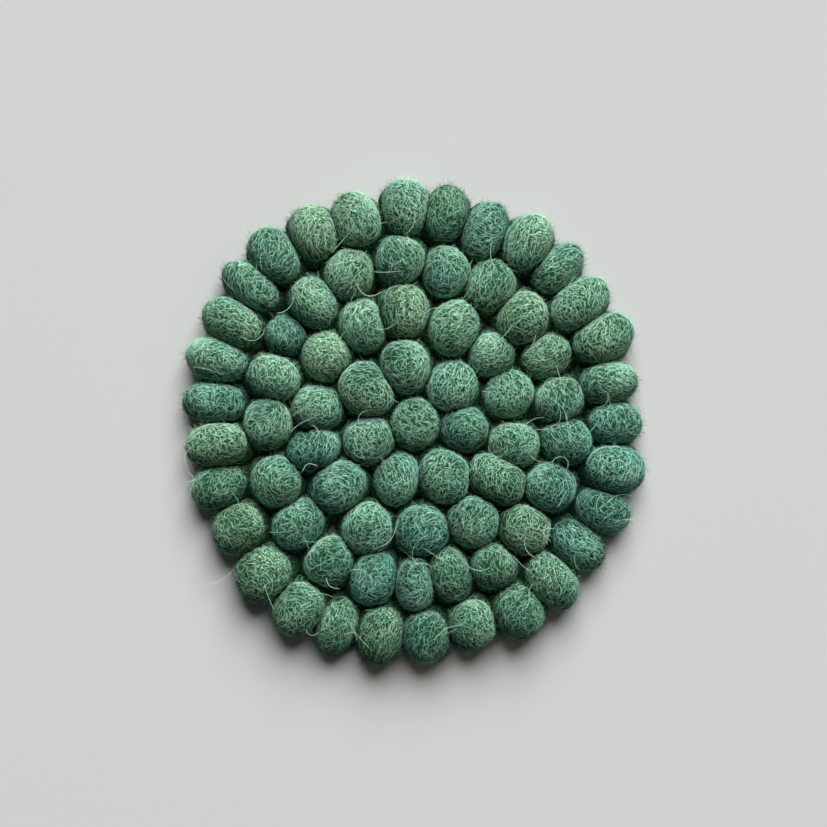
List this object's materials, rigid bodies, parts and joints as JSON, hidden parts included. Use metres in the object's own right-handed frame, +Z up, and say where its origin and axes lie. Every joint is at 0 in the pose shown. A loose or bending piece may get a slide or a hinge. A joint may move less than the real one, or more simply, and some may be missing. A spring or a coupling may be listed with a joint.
{
  "type": "felt ball coaster",
  "caption": "Round coaster of green wool felt balls, sewn side by side in rings, that stands under a hot or cold cup.",
  "frame": {"origin": "middle of the coaster's outline, on the table it lies on", "axes": "+Z up out of the table, +Y towards the top edge of the picture, +X to its right"},
  "size_m": [0.1006, 0.1056, 0.01],
  "materials": {
    "felt_pine": "matte wool felt",
    "felt_moss": "matte wool felt",
    "felt_olive": "matte wool felt",
    "thread": "twisted sewing thread"
  },
  "bodies": {
    "root": {"centre_ball": "felt_moss", "inner_ball_01": "felt_moss", "inner_ball_02": "felt_moss", "inner_ball_03": "felt_pine", "inner_ball_04": "felt_moss", "inner_ball_05": "felt_moss", "inner_ball_06": "felt_moss", "inner_ball_07": "felt_olive", "second_ball_01": "felt_moss", "second_ball_02": "felt_olive", "second_ball_03": "felt_moss", "second_ball_04": "felt_moss", "second_ball_05": "felt_moss", "second_ball_06": "felt_moss", "second_ball_07": "felt_olive", "second_ball_08": "felt_moss", "second_ball_09": "felt_pine", "second_ball_10": "felt_moss", "second_ball_11": "felt_moss", "second_ball_12": "felt_pine", "second_ball_13": "felt_moss", "second_ball_14": "felt_olive", "third_ball_01": "felt_moss", "third_ball_02": "felt_olive", "third_ball_03": "felt_moss", "third_ball_04": "felt_pine", "third_ball_05": "felt_moss", "third_ball_06": "felt_olive", "third_ball_07": "felt_moss", "third_ball_08": "felt_moss", "third_ball_09": "felt_pine", "third_ball_10": "felt_pine", "third_ball_11": "felt_olive", "third_ball_12": "felt_moss", "third_ball_13": "felt_moss", "third_ball_14": "felt_moss", "third_ball_15": "felt_pine", "third_ball_16": "felt_moss", "third_ball_17": "felt_pine", "third_ball_18": "felt_moss", "third_ball_19": "felt_moss", "third_ball_20": "felt_moss", "third_ball_21": "felt_pine", "rim_pair_01": "felt_pine", "rim_pair_02": "felt_olive", "rim_pair_03": "felt_moss", "rim_pair_04": "felt_pine", "rim_pair_05": "felt_moss", "rim_pair_06": "felt_moss", "rim_pair_07": "felt_pine", "rim_pair_08": "felt_pine", "rim_pair_09": "felt_moss", "rim_pair_10": "felt_moss", "rim_pair_11": "felt_moss", "rim_pair_12": "felt_moss", "rim_pair_13": "felt_olive", "rim_pair_14": "felt_moss", "rim_pair_15": "felt_moss", "ring_string": "thread", "spoke_lacing": "thread"}
  },
  "joints": []
}
